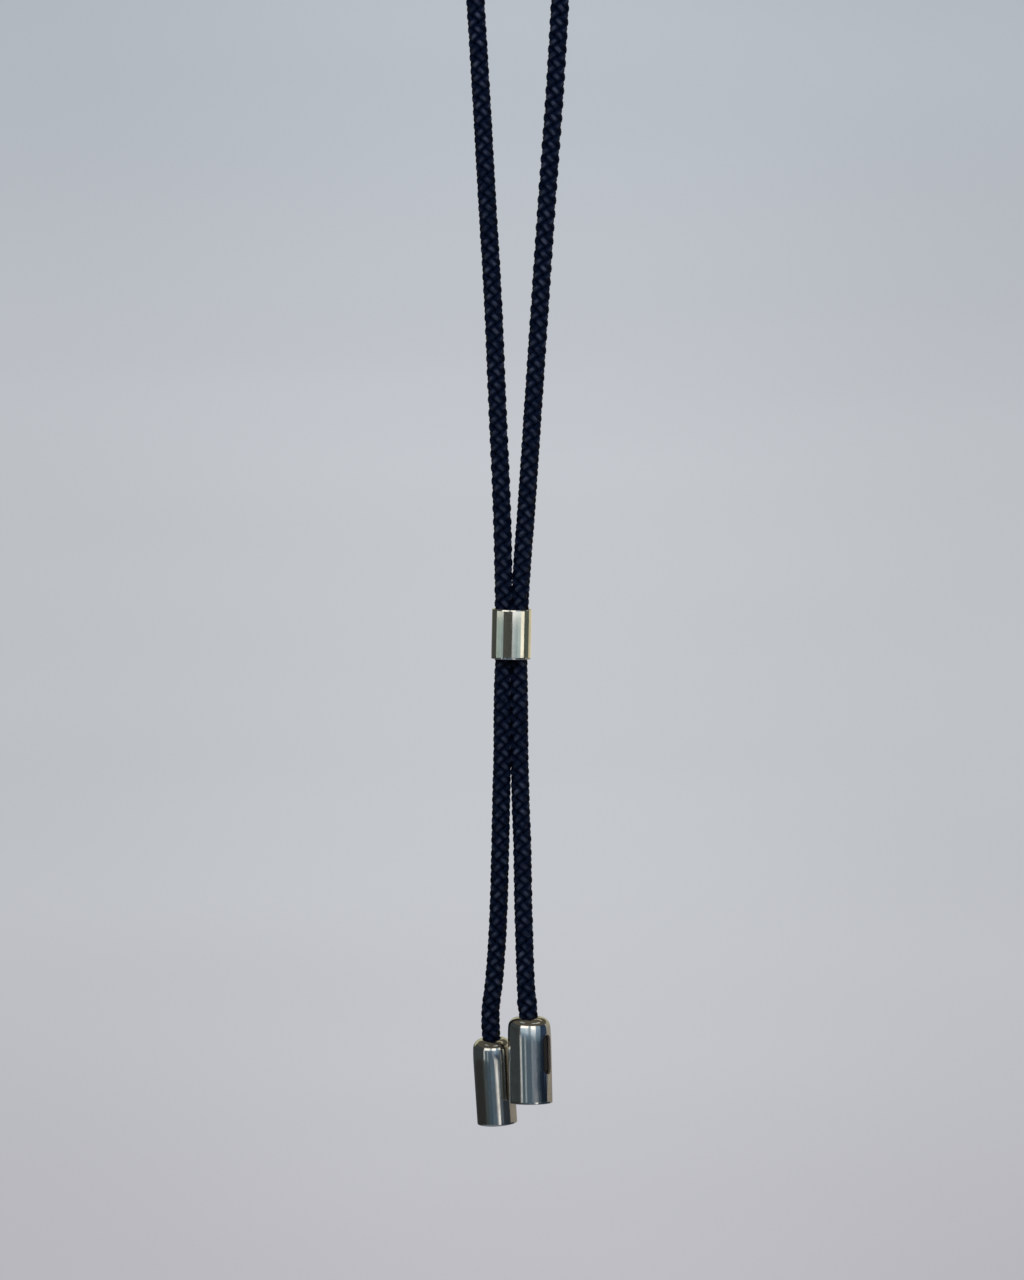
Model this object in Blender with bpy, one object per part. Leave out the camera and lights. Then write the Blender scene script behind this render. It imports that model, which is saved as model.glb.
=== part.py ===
"""Eyeglass retainer strap: one braided cord doubled into a loop, a slider, two temple-tip caps.

Metres, +Z up, +X to the right. The origin is where the loop rests on what it hangs from, and the
strap hangs down from there. The cord runs from inside the left cap, up through the slider, over
the loop, down through the slider again and into the right cap.
"""
import math

import bmesh
import bpy
from mathutils import Matrix, Vector

MM = 0.001

# Cord
CORD_D = 3.0 * MM
TUBE_RADIUS = 1.35 * MM
JOIN_GAP = 0.3 * MM
TUBE_STEP = 7.0 * MM
LOOP_STEP = 6.0 * MM

# Where the slider's centre hangs, measured from the loop's rest point
SLIDER_AT = Vector((-1.1, 0.0, -207.0)) * MM
SLIDER_TILT = math.radians(1.2)

# The top bend of the loop, as a circle about a point given from the slider's centre
LOOP_CENTRE = (1.1, 0.0, 195.8)
LOOP_RADIUS = 12.7
LOOP_SPREAD = 3.5
LOOP_POINTS = 9

# Route of each side in mm from the slider's centre, from inside the cap up to the loop
LEFT_ROUTE = (
    (-3.30, 2.55, -74.9), (-3.52, 2.47, -72.4), (-3.70, 2.40, -70.1), (-3.70, 2.28, -67.0),
    (-3.14, 2.00, -62.4), (-2.64, 1.60, -56.1), (-2.30, 1.20, -49.7), (-2.11, 0.80, -43.3),
    (-1.95, 0.42, -37.0), (-1.82, 0.12, -30.0), (-1.65, 0.00, -23.0), (-1.60, 0.00, -15.0),
    (-1.57, 0.00, -7.0), (-1.50, 0.00, 0.0), (-1.42, 0.00, 6.5), (-1.46, 0.00, 13.1),
    (-1.75, 0.00, 23.7), (-2.52, 0.00, 41.3), (-3.26, 0.00, 59.0), (-4.29, 0.00, 76.6),
    (-5.28, 0.00, 94.3), (-6.35, 0.00, 111.9), (-8.05, 0.00, 139.0), (-9.75, 0.00, 167.0),
)
RIGHT_ROUTE = (
    (3.16, -2.51, -70.4), (3.02, -2.46, -68.0), (2.76, -2.33, -65.2), (2.50, -2.06, -61.0),
    (2.30, -1.65, -55.0), (2.12, -1.21, -49.0), (2.01, -0.80, -43.3), (1.90, -0.42, -37.0),
    (1.63, -0.12, -30.0), (1.47, 0.00, -23.0), (1.40, 0.00, -15.0), (1.43, 0.00, -7.0),
    (1.50, 0.00, 0.0), (1.60, 0.00, 6.5), (1.96, 0.00, 13.1), (2.74, 0.00, 23.7),
    (3.90, 0.00, 41.3), (5.08, 0.00, 59.0), (6.26, 0.00, 76.6), (7.54, 0.00, 94.3),
    (8.59, 0.00, 111.9), (10.28, 0.00, 139.0), (12.00, 0.00, 167.0),
)

# Heights, in mm from the slider's centre, where the cord may bend and so changes body
LOOP_CUT = 190.0
STRAND_CUT = 6.5
TAIL_CUT = -28.5

# Slider: a thin polished tube over a grip liner with one oval bore for both strands
SLEEVE_RADIUS = 3.5 * MM
SLEEVE_WALL = 0.3 * MM
SLEEVE_LENGTH = 8.8 * MM
SLEEVE_CHAMFER = 0.08 * MM
LINER_RADIUS = 3.1 * MM
LINER_LENGTH = 8.0 * MM
LINER_BORE_HALF_LENGTH = 2.97 * MM
LINER_BORE_HALF_WIDTH = 1.47 * MM
LINER_LEAD_IN = 0.25 * MM

# Cap: an oval barrel, open below, with a window in one of its narrow ends
CAP_LENGTH = 15.2 * MM
CAP_HALF_LONG = 4.0 * MM
CAP_HALF_SHORT = 3.55 * MM
CAP_WALL = 0.5 * MM
CAP_TOP_PLATE = 0.6 * MM
CAP_SHOULDER = 1.1 * MM
CAP_SHOULDER_STEPS = 5
CAP_HOLE_RADIUS = 1.72 * MM
CAP_ROUND_TO = 1.9 * MM
CAP_RIM_CHAMFER = 0.08 * MM
WINDOW_TOP = 3.0 * MM
WINDOW_LENGTH = 7.0 * MM
WINDOW_WIDTH = 2.1 * MM

# Crimp ring on the cord's end, under the cap's top plate
CRIMP_RADIUS = 2.5 * MM
CRIMP_BORE = 1.5 * MM
CRIMP_LENGTH = 2.2 * MM
CRIMP_BEAD = 0.3 * MM

# Temple grip: a silicone sleeve with a flat bore, locked by a lug in the cap's window
GRIP_TOP = 3.15 * MM
GRIP_RECESS = 0.4 * MM
GRIP_GAP = 0.1 * MM
GRIP_BORE_HALF_LONG = 2.5 * MM
GRIP_BORE_HALF_SHORT = 1.2 * MM
GRIP_LEAD_IN = 0.5 * MM
LUG_CLEARANCE = 0.2 * MM
LUG_STANDS_OUT = 3.75 * MM
LUG_ROOT = 2.9 * MM

# Each cap: top centre in mm from the slider's centre, sideways and fore-aft lean, and how far the
# window is turned about the barrel, from facing +X
CAPS = {
    "left": {"top": (-3.48, 2.45, -72.15), "lean": (2.0, -3.7), "turn": 90.0},
    "right": {"top": (3.10, -2.45, -67.7), "lean": (-1.3, -1.3), "turn": -38.0},
}

ROUND_STEPS = 40
CORD_COLOUR = (0.012, 0.013, 0.024, 1.0)
STEEL_COLOUR = (0.56, 0.57, 0.56, 1.0)
SILICONE_COLOUR = (0.018, 0.016, 0.016, 1.0)
LINER_COLOUR = (0.03, 0.03, 0.032, 1.0)


def clear_scene():
    for item in list(bpy.data.objects):
        bpy.data.objects.remove(item, do_unlink=True)


def finish(name, colour, roughness, metallic):
    """A Principled material of one colour."""
    material = bpy.data.materials.new(name)
    material.use_nodes = True
    shader = material.node_tree.nodes["Principled BSDF"]
    shader.inputs["Base Color"].default_value = colour
    shader.inputs["Roughness"].default_value = roughness
    shader.inputs["Metallic"].default_value = metallic
    return material


def add_object(name, data, material, parent=None):
    item = bpy.data.objects.new(name, data)
    bpy.context.scene.collection.objects.link(item)
    item.parent = parent
    if material:
        data.materials.append(material)
    return item


def hide_guide(item):
    """A guide only cuts or adds to another shape."""
    item.hide_render = True
    item.display_type = "WIRE"


def add_boolean(item, guide, operation):
    modifier = item.modifiers.new(guide.name, "BOOLEAN")
    modifier.operation = operation
    modifier.solver = "EXACT"
    modifier.object = guide


def from_slider(point):
    """A point given in mm from the slider's centre, in the strap's own frame."""
    return Vector(point) * MM + SLIDER_AT


# ---- rings and lofts -------------------------------------------------------------------------


def ring_angles():
    """Angles that miss the axes, so that a racetrack's straight sides fall between two points."""
    return [(step + 0.5) * math.tau / ROUND_STEPS for step in range(ROUND_STEPS)]


def oval(half_x, half_y, height):
    return [Vector((half_x * math.cos(a), half_y * math.sin(a), height)) for a in ring_angles()]


def racetrack(half_length, half_width, height):
    """A slot outline with round ends, its length along X."""
    shift = half_length - half_width
    return [
        Vector((
            math.copysign(shift, math.cos(a)) + half_width * math.cos(a),
            half_width * math.sin(a),
            height,
        ))
        for a in ring_angles()
    ]


def loft(name, rings, material, parent):
    """A closed body with a hole through it: each ring is joined to the next, the last to the first."""
    shape = bmesh.new()
    loops = [[shape.verts.new(point) for point in ring] for ring in rings]
    for loop, after in zip(loops, loops[1:] + loops[:1]):
        for n in range(ROUND_STEPS):
            shape.faces.new((loop[n - 1], loop[n], after[n], after[n - 1]))
    bmesh.ops.recalc_face_normals(shape, faces=shape.faces[:])
    mesh = bpy.data.meshes.new(name)
    shape.to_mesh(mesh)
    shape.free()
    mesh.shade_smooth()
    mesh.set_sharp_from_angle(angle=math.radians(35))
    return add_object(name, mesh, material, parent)


def slot_prism(name, length, width, near, far, middle_height, parent):
    """A racetrack bar along X from near to far, its length upright: the window's or the lug's shape."""
    shape = bmesh.new()
    corners = [
        shape.verts.new((near, point.y, point.x + middle_height))
        for point in racetrack(length / 2, width / 2, 0.0)
    ]
    face = shape.faces.new(corners)
    grown = bmesh.ops.extrude_face_region(shape, geom=[face])["geom"]
    moved = [part for part in grown if isinstance(part, bmesh.types.BMVert)]
    bmesh.ops.translate(shape, verts=moved, vec=(far - near, 0.0, 0.0))
    bmesh.ops.recalc_face_normals(shape, faces=shape.faces[:])
    mesh = bpy.data.meshes.new(name)
    shape.to_mesh(mesh)
    shape.free()
    guide = add_object(name, mesh, None, parent)
    hide_guide(guide)
    return guide


# ---- cord --------------------------------------------------------------------------------------


def loop_points():
    """Points over the loop's top bend, from the left strand to the right one."""
    start = math.radians(180.0 + LOOP_SPREAD)
    sweep = math.radians(180.0 + 2 * LOOP_SPREAD)
    angles = [start - sweep * step / (LOOP_POINTS - 1) for step in range(LOOP_POINTS)]
    x, y, z = LOOP_CENTRE
    return [
        (x + LOOP_RADIUS * math.cos(a), y, z + LOOP_RADIUS * math.sin(a)) for a in angles
    ]


def smooth_through(points, pieces=16):
    """A centripetal Catmull-Rom curve through the points, as closely spaced points."""
    ends = [2 * points[0] - points[1]], [2 * points[-1] - points[-2]]
    run = ends[0] + points + ends[1]
    curve = []
    for a, b, c, d in zip(run, run[1:], run[2:], run[3:]):
        knots = [0.0]
        for first, second in ((a, b), (b, c), (c, d)):
            knots.append(knots[-1] + math.sqrt((second - first).length))
        for piece in range(pieces):
            t = knots[1] + (knots[2] - knots[1]) * piece / pieces
            ab = a.lerp(b, (t - knots[0]) / (knots[1] - knots[0]))
            bc = b.lerp(c, (t - knots[1]) / (knots[2] - knots[1]))
            cd = c.lerp(d, (t - knots[2]) / (knots[3] - knots[2]))
            abc = ab.lerp(bc, (t - knots[0]) / (knots[2] - knots[0]))
            bcd = bc.lerp(cd, (t - knots[1]) / (knots[3] - knots[1]))
            curve.append(abc.lerp(bcd, (t - knots[1]) / (knots[2] - knots[1])))
    return curve + [points[-1]]


def lengths_along(curve):
    total = [0.0]
    for first, second in zip(curve, curve[1:]):
        total.append(total[-1] + (second - first).length)
    return total


def point_at(curve, total, length):
    """The point that lies a given length along the curve."""
    index = next(i for i in range(1, len(total)) if total[i] >= length or i == len(total) - 1)
    share = (length - total[index - 1]) / (total[index] - total[index - 1])
    return curve[index - 1].lerp(curve[index], share)


def crossing(curve, total, height, side):
    """How far along the curve its left or right side passes a height in mm from the slider."""
    level = from_slider((0.0, 0.0, height)).z
    pairs = list(range(1, len(curve)))
    if side == "right":
        pairs.reverse()
    for index in pairs:
        low, high = sorted((curve[index - 1].z, curve[index].z))
        if low <= level <= high:
            rise = curve[index].z - curve[index - 1].z
            share = (level - curve[index - 1].z) / rise
            return total[index - 1] + share * (total[index] - total[index - 1])
    raise ValueError(f"the cord never passes {height} mm")


def tube(name, points, material, origin):
    """A round cord through the points, with flat ends."""
    curve = bpy.data.curves.new(name, "CURVE")
    curve.dimensions = "3D"
    curve.bevel_depth = TUBE_RADIUS
    curve.bevel_resolution = 2
    curve.use_fill_caps = True
    spline = curve.splines.new("POLY")
    spline.points.add(len(points) - 1)
    for place, point in zip(spline.points, points):
        place.co = (*(point - origin), 1.0)
    spline.use_smooth = True
    item = add_object(name, curve, material)
    item.location = origin
    return item


def cord(material):
    """The whole cord, as tubes that meet where it bends or changes body."""
    left = [from_slider(point) for point in LEFT_ROUTE]
    right = [from_slider(point) for point in reversed(RIGHT_ROUTE)]
    curve = smooth_through(left + [from_slider(p) for p in loop_points()] + right)
    total = lengths_along(curve)
    cuts = {
        (side, height): crossing(curve, total, height, side)
        for side in ("left", "right")
        for height in (LOOP_CUT, STRAND_CUT, TAIL_CUT)
    }
    stretches = (
        ("left_lower_strand", 0.0, cuts["left", TAIL_CUT], TUBE_STEP, ("left", TAIL_CUT)),
        ("left_middle_strand", cuts["left", TAIL_CUT], cuts["left", STRAND_CUT], TUBE_STEP, None),
        ("left_upper_strand", cuts["left", STRAND_CUT], cuts["left", LOOP_CUT], TUBE_STEP,
         ("left", STRAND_CUT)),
        ("cord_loop", cuts["left", LOOP_CUT], cuts["right", LOOP_CUT], LOOP_STEP, None),
        ("right_upper_strand", cuts["right", LOOP_CUT], cuts["right", STRAND_CUT], TUBE_STEP,
         ("right", STRAND_CUT)),
        ("right_middle_strand", cuts["right", STRAND_CUT], cuts["right", TAIL_CUT], TUBE_STEP,
         None),
        ("right_lower_strand", cuts["right", TAIL_CUT], total[-1], TUBE_STEP,
         ("right", TAIL_CUT)),
    )
    for name, begin, end, step, pivot in stretches:
        first = begin + (JOIN_GAP / 2 if begin > 0.0 else 0.0)
        last = end - (JOIN_GAP / 2 if end < total[-1] else 0.0)
        count = max(2, round((last - first) / step))
        points = [
            point_at(curve, total, first + (last - first) * n / count) for n in range(count + 1)
        ]
        origin = point_at(curve, total, cuts[pivot]) if pivot else Vector((0.0, 0.0, 0.0))
        tube(name, points, material, origin)
    return total[-1]


# ---- slider ------------------------------------------------------------------------------------


def slider(steel, rubber):
    frame = bpy.data.objects.new("slider_frame", None)
    bpy.context.scene.collection.objects.link(frame)
    frame.location = SLIDER_AT
    frame.rotation_euler = (0.0, SLIDER_TILT, 0.0)
    half, outer, inner = SLEEVE_LENGTH / 2, SLEEVE_RADIUS, SLEEVE_RADIUS - SLEEVE_WALL
    edge = SLEEVE_CHAMFER
    profile = (
        (outer, edge - half), (outer, half - edge), (outer - edge, half), (inner + edge, half),
        (inner, half - edge), (inner, edge - half), (inner + edge, -half), (outer - edge, -half),
    )
    loft("slider_sleeve", [oval(r, r, z) for r, z in profile], steel, frame)
    half, lead = LINER_LENGTH / 2, LINER_LEAD_IN
    long, short = LINER_BORE_HALF_LENGTH, LINER_BORE_HALF_WIDTH
    rings = [
        oval(LINER_RADIUS, LINER_RADIUS, -half),
        oval(LINER_RADIUS, LINER_RADIUS, half),
        racetrack(long, short + lead, half),
        racetrack(long, short, half - lead),
        racetrack(long, short, lead - half),
        racetrack(long, short + lead, -half),
    ]
    loft("slider_liner", rings, rubber, frame)


# ---- caps --------------------------------------------------------------------------------------


def cap_ring(radius, height):
    """A ring of the barrel: round by the cord's hole and oval from a little way out of it."""
    squash = CAP_HALF_SHORT / CAP_HALF_LONG
    share = min(max((radius - CAP_HOLE_RADIUS) / (CAP_ROUND_TO - CAP_HOLE_RADIUS), 0.0), 1.0)
    return oval(radius, radius * (1.0 - share * (1.0 - squash)), height)


def cap_shell(side, steel, frame, turn):
    outer, bottom = CAP_HALF_LONG, -CAP_LENGTH
    inner, edge = CAP_HALF_LONG - CAP_WALL, CAP_RIM_CHAMFER
    fillet = CAP_SHOULDER - CAP_WALL
    profile = [(outer, bottom + edge)]
    for step in range(CAP_SHOULDER_STEPS + 1):
        bend = math.pi / 2 * step / CAP_SHOULDER_STEPS
        profile.append((
            outer - CAP_SHOULDER * (1.0 - math.cos(bend)),
            CAP_SHOULDER * (math.sin(bend) - 1.0),
        ))
    profile += [
        (CAP_ROUND_TO + 0.2 * MM, 0.0), (CAP_HOLE_RADIUS + edge, 0.0), (CAP_HOLE_RADIUS, -edge),
        (CAP_HOLE_RADIUS, -CAP_TOP_PLATE), (CAP_ROUND_TO + 0.2 * MM, -CAP_TOP_PLATE),
        (inner - fillet, -CAP_TOP_PLATE), (inner, -CAP_TOP_PLATE - fillet),
        (inner, bottom + edge), (inner + edge, bottom), (outer - edge, bottom),
    ]
    rings = [cap_ring(radius, height) for radius, height in profile]
    shell = loft(f"{side}_cap_shell", rings, steel, frame)
    shell.rotation_euler = (0.0, 0.0, turn)
    middle = -WINDOW_TOP - WINDOW_LENGTH / 2
    cutter = slot_prism(
        f"{side}_window_cutter", WINDOW_LENGTH, WINDOW_WIDTH, 2.0 * MM, 6.0 * MM, middle, frame
    )
    cutter.rotation_euler = (0.0, 0.0, turn)
    add_boolean(shell, cutter, "DIFFERENCE")


def cord_crimp(side, steel, frame):
    top = -CAP_TOP_PLATE - GRIP_GAP
    low, bead = top - CRIMP_LENGTH, CRIMP_BEAD
    waist = CRIMP_RADIUS - bead
    profile = (
        (CRIMP_BORE, low), (CRIMP_RADIUS, low), (CRIMP_RADIUS, low + bead), (waist, low + 2 * bead),
        (waist, top - 2 * bead), (CRIMP_RADIUS, top - bead), (CRIMP_RADIUS, top),
        (CRIMP_BORE, top),
    )
    loft(f"{side}_cord_crimp", [oval(r, r, z) for r, z in profile], steel, frame)


def temple_grip(side, rubber, frame, turn):
    high, low = -GRIP_TOP, GRIP_RECESS - CAP_LENGTH
    squash = CAP_HALF_SHORT / CAP_HALF_LONG
    long = CAP_HALF_LONG - CAP_WALL - GRIP_GAP
    short = (CAP_HALF_LONG - CAP_WALL) * squash - GRIP_GAP
    bore, flat, lead = GRIP_BORE_HALF_LONG, GRIP_BORE_HALF_SHORT, GRIP_LEAD_IN
    rings = [
        oval(long, short, low),
        oval(long, short, high),
        racetrack(bore, flat, high),
        racetrack(bore, flat, low + lead),
        racetrack(bore + lead * 0.4, flat + lead * 0.6, low),
    ]
    grip = loft(f"{side}_temple_grip", rings, rubber, frame)
    grip.rotation_euler = (0.0, 0.0, turn)
    middle = -WINDOW_TOP - WINDOW_LENGTH / 2
    lug_length = WINDOW_LENGTH - 2 * LUG_CLEARANCE
    lug_width = WINDOW_WIDTH - 2 * LUG_CLEARANCE
    lug = slot_prism(
        f"{side}_lug_shape", lug_length, lug_width, LUG_ROOT, LUG_STANDS_OUT, middle, frame
    )
    lug.rotation_euler = (0.0, 0.0, turn)
    add_boolean(grip, lug, "UNION")


def cap(side, steel, silicone):
    place = CAPS[side]
    frame = bpy.data.objects.new(f"{side}_cap_frame", None)
    bpy.context.scene.collection.objects.link(frame)
    frame.location = from_slider(place["top"])
    fore_aft, sideways = place["lean"]
    frame.rotation_euler = (math.radians(fore_aft), math.radians(sideways), 0.0)
    turn = math.radians(place["turn"])
    cap_shell(side, steel, frame, turn)
    cord_crimp(side, steel, frame)
    temple_grip(side, silicone, frame, turn)


def main():
    clear_scene()
    braid = finish("braided_polyester", CORD_COLOUR, 0.85, 0.0)
    steel = finish("polished_stainless_steel", STEEL_COLOUR, 0.12, 1.0)
    silicone = finish("black_silicone", SILICONE_COLOUR, 0.6, 0.0)
    liner = finish("grey_silicone", LINER_COLOUR, 0.7, 0.0)
    cord(braid)
    slider(steel, liner)
    for side in CAPS:
        cap(side, steel, silicone)


main()
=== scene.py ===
"""Finished look of the eyeglass retainer strap: braided cord, slider tube and temple-tip caps.

Each piece has one operator, and main() runs them in order. Lengths are metres, +Z is up, and the
camera looks along +Y.
"""
import math

import bmesh
import bpy
import numpy as np
from bpy.props import FloatProperty, FloatVectorProperty, IntProperty, PointerProperty
from mathutils import Matrix, Vector


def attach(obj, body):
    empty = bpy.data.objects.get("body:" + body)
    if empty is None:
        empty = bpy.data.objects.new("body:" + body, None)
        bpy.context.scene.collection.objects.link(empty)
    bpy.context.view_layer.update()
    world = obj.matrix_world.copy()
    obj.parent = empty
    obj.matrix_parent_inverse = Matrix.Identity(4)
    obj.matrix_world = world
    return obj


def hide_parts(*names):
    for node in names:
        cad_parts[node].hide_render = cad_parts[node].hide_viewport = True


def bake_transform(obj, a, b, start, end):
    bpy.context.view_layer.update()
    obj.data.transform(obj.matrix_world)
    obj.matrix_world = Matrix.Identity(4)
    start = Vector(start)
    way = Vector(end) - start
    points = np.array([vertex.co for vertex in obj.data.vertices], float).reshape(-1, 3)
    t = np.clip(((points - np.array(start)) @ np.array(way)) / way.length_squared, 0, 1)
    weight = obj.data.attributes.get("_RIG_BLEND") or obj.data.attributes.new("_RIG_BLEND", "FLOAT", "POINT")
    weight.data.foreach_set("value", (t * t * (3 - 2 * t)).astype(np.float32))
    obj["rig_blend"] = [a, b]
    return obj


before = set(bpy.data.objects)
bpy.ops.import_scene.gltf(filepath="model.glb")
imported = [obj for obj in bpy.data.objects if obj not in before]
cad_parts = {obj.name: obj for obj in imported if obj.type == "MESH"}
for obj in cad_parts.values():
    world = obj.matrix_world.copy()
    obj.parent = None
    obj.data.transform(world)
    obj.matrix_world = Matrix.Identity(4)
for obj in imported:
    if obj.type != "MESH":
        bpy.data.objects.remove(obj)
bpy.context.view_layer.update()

bl_info = {
    "name": "Eyeglass Retainer Strap",
    "version": (1, 0, 0),
    "blender": (4, 5, 0),
    "location": "3D View > Sidebar > Strap",
    "description": "Braided cord, slider and temple-tip caps for one eyeglass strap",
    "category": "Object",
}

MM = 0.001

# Calipers press a braid's soft crowns in; left free they stand 13 % proud of its sold diameter.
PROUD = 1.13
YARN_GIRTH_MM = 2.9

# ---- places shared with the CAD model ------------------------------------------------------------

SLIDER_AT = Vector((-0.0011, 0.0, -0.2070))
SLIDER_TILT = math.radians(1.2)

# The loop's top bend: a circle's centre from the slider, its radius, and how far it passes half
LOOP_CENTRE = (0.0011, 0.0, 0.1958)
LOOP_RADIUS = 0.0127
LOOP_SPREAD = math.radians(3.5)
LOOP_POINTS = 9

# The cord's route on each side, from inside its cap up to the loop, measured from the slider
LEFT_ROUTE = (
    (-0.00330, 0.00255, -0.0749), (-0.00352, 0.00247, -0.0724), (-0.00370, 0.00240, -0.0701),
    (-0.00370, 0.00228, -0.0670), (-0.00314, 0.00200, -0.0624), (-0.00264, 0.00160, -0.0561),
    (-0.00230, 0.00120, -0.0497), (-0.00211, 0.00080, -0.0433), (-0.00195, 0.00042, -0.0370),
    (-0.00182, 0.00012, -0.0300), (-0.00165, 0.0, -0.0230), (-0.00160, 0.0, -0.0150),
    (-0.00157, 0.0, -0.0070), (-0.00150, 0.0, 0.0), (-0.00142, 0.0, 0.0065),
    (-0.00146, 0.0, 0.0131), (-0.00175, 0.0, 0.0237), (-0.00252, 0.0, 0.0413),
    (-0.00326, 0.0, 0.0590), (-0.00429, 0.0, 0.0766), (-0.00528, 0.0, 0.0943),
    (-0.00635, 0.0, 0.1119), (-0.00805, 0.0, 0.1390), (-0.00975, 0.0, 0.1670),
)
RIGHT_ROUTE = (
    (0.00316, -0.00251, -0.0704), (0.00302, -0.00246, -0.0680), (0.00276, -0.00233, -0.0652),
    (0.00250, -0.00206, -0.0610), (0.00230, -0.00165, -0.0550), (0.00212, -0.00121, -0.0490),
    (0.00201, -0.00080, -0.0433), (0.00190, -0.00042, -0.0370), (0.00163, -0.00012, -0.0300),
    (0.00147, 0.0, -0.0230), (0.00140, 0.0, -0.0150), (0.00143, 0.0, -0.0070),
    (0.00150, 0.0, 0.0), (0.00160, 0.0, 0.0065), (0.00196, 0.0, 0.0131),
    (0.00274, 0.0, 0.0237), (0.00390, 0.0, 0.0413), (0.00508, 0.0, 0.0590),
    (0.00626, 0.0, 0.0766), (0.00754, 0.0, 0.0943), (0.00859, 0.0, 0.1119),
    (0.01028, 0.0, 0.1390), (0.01200, 0.0, 0.1670),
)

# Heights from the slider where one piece of cord meets the next, and how far one reaches inside
LOOP_CUT = 0.190
STRAND_CUT = 0.0065
OVERLAP = 0.0015
# Heights from the slider between which a tail's cord passes from the strap's body to the tail's
TAIL_BEND = (-0.024, -0.033)
# Places from the slider between which a long run's cord passes from its own body to the strap's
RUN_BEND = {
    "left": ((-0.0034, 0.0, 0.064), (-0.0090, 0.0, 0.160)),
    "right": ((0.0051, 0.0, 0.064), (0.0115, 0.0, 0.160)),
}

# Each cap: its top centre from the slider, its fore-aft and sideways lean, and the window's turn
CAPS = {
    "left": {"top": (-0.00348, 0.00245, -0.07215), "lean": (2.0, -3.7), "turn": 90.0},
    "right": {"top": (0.00310, -0.00245, -0.0677), "lean": (-1.3, -1.3), "turn": -38.0},
}


# ---- colours -------------------------------------------------------------------------------------


def linear(code):
    """The linear RGB of an sRGB hex value."""
    values = [int(code[n:n + 2], 16) / 255 for n in (0, 2, 4)]
    return tuple(v / 12.92 if v <= 0.04045 else ((v + 0.055) / 1.055) ** 2.4 for v in values)


def rgba(colour):
    return (*colour, 1.0)


def length_setting(name, description, default, **limits):
    return FloatProperty(name=name, description=description, default=default, unit="LENGTH",
                         precision=5, **limits)


def colour_setting(name, description, code):
    return FloatVectorProperty(name=name, description=description, default=linear(code),
                               subtype="COLOR", size=3, min=0.0, max=1.0)


# ---- settings ------------------------------------------------------------------------------------


class StrapCordSettings(bpy.types.PropertyGroup):
    """Sizes and colours of the braided cord."""
    diameter: length_setting("Diameter", "Outer diameter of the cord, as sold", 0.0030)
    lay: length_setting("Lay", "Length of one full turn of a yarn round the cord", 0.0096)
    yarn_width: length_setting("Yarn width", "Width of a flattened yarn", 0.00130)
    yarn_thickness: length_setting("Yarn thickness", "Thickness of a flattened yarn", 0.00072)
    weave_depth: length_setting("Weave depth", "How far a yarn rises and dips", 0.00018)
    fibre_spacing: length_setting("Loose fibre spacing", "Cord length per stray fibre", 0.0013)
    seed: IntProperty(name="Seed", description="Picks where the stray fibres lie", default=11)
    yarn_colour: colour_setting("Yarn", "Dyed yarn", "02091B")
    # The worn yarn colour goes on each stitch's raised crown as a painted highlight, with some wear from
    # rubbing
    highlight_and_wear_colour: colour_setting("Worn yarn", "Yarn where it has rubbed", "3C4253")


class StrapSliderSettings(bpy.types.PropertyGroup):
    """Sizes of the slider tube."""
    radius: length_setting("Radius", "Outer radius of the tube", 0.0035)
    wall: length_setting("Wall", "Thickness of the tube", 0.0003)
    length: length_setting("Length", "Length of the tube", 0.0088)
    edge: length_setting("Edge", "Rounding of the tube's edges", 0.0001)


class StrapCapSettings(bpy.types.PropertyGroup):
    """Sizes of a temple-tip cap."""
    half_long: length_setting("Half length", "Half the barrel's longer width", 0.0040)
    half_short: length_setting("Half width", "Half the barrel's shorter width", 0.00355)
    length: length_setting("Length", "Height of the cap", 0.0152)
    wall: length_setting("Wall", "Thickness of the barrel", 0.0005)
    top_plate: length_setting("Top plate", "Thickness of the closed top", 0.0006)
    shoulder: length_setting("Shoulder", "Rounding between the barrel and its top", 0.00158)
    hole_radius: length_setting("Cord hole", "Radius of the hole for the cord", 0.00172)
    window_top: length_setting("Window top", "Window's distance below the cap's top", 0.0030)
    window_length: length_setting("Window length", "Height of the window", 0.0070)
    window_width: length_setting("Window width", "Width of the window", 0.0021)


class StrapGripSettings(bpy.types.PropertyGroup):
    """Sizes of a silicone temple grip."""
    top: length_setting("Top", "Sleeve's top below the cap's top", 0.00315)
    recess: length_setting("Recess", "Sleeve's bottom above the cap's mouth", 0.0004)
    clearance: length_setting("Clearance", "Room between the sleeve and the cap", 0.0001)
    bore_width: length_setting("Bore width", "Width of the flat bore", 0.0050)
    bore_height: length_setting("Bore height", "Height of the flat bore", 0.0024)
    lead_in: length_setting("Lead-in", "Depth of the bore's widened mouth", 0.0005)
    lug_gap: length_setting("Lug gap", "Gap between the lug and the window's edge", 0.00015)
    lug_below: length_setting("Lug below", "How far the lug's crown is below the barrel", 0.00055)


class StrapFinishSettings(bpy.types.PropertyGroup):
    """Colours of the metal and silicone parts."""
    steel: colour_setting("Steel", "Polished stainless steel", "CAC8C3")
    crimp: colour_setting("Crimp", "Blasted stainless steel", "A9A8A4")
    silicone: colour_setting("Silicone", "Moulded silicone", "121113")
    backdrop: colour_setting("Backdrop", "Pale studio wall", "C5C8CD")


SETTINGS = {
    "strap_cord": StrapCordSettings,
    "strap_slider": StrapSliderSettings,
    "strap_cap": StrapCapSettings,
    "strap_grip": StrapGripSettings,
    "strap_finish": StrapFinishSettings,
}


# ---- materials -----------------------------------------------------------------------------------


def node(tree, kind, inputs=None, **options):
    """Add a node with its options, and set or link each named socket."""
    made = tree.nodes.new(kind)
    for name, value in options.items():
        setattr(made, name, value)
    for name, value in (inputs or {}).items():
        if isinstance(value, bpy.types.NodeSocket):
            tree.links.new(value, made.inputs[name])
        else:
            made.inputs[name].default_value = value
    return made


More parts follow.
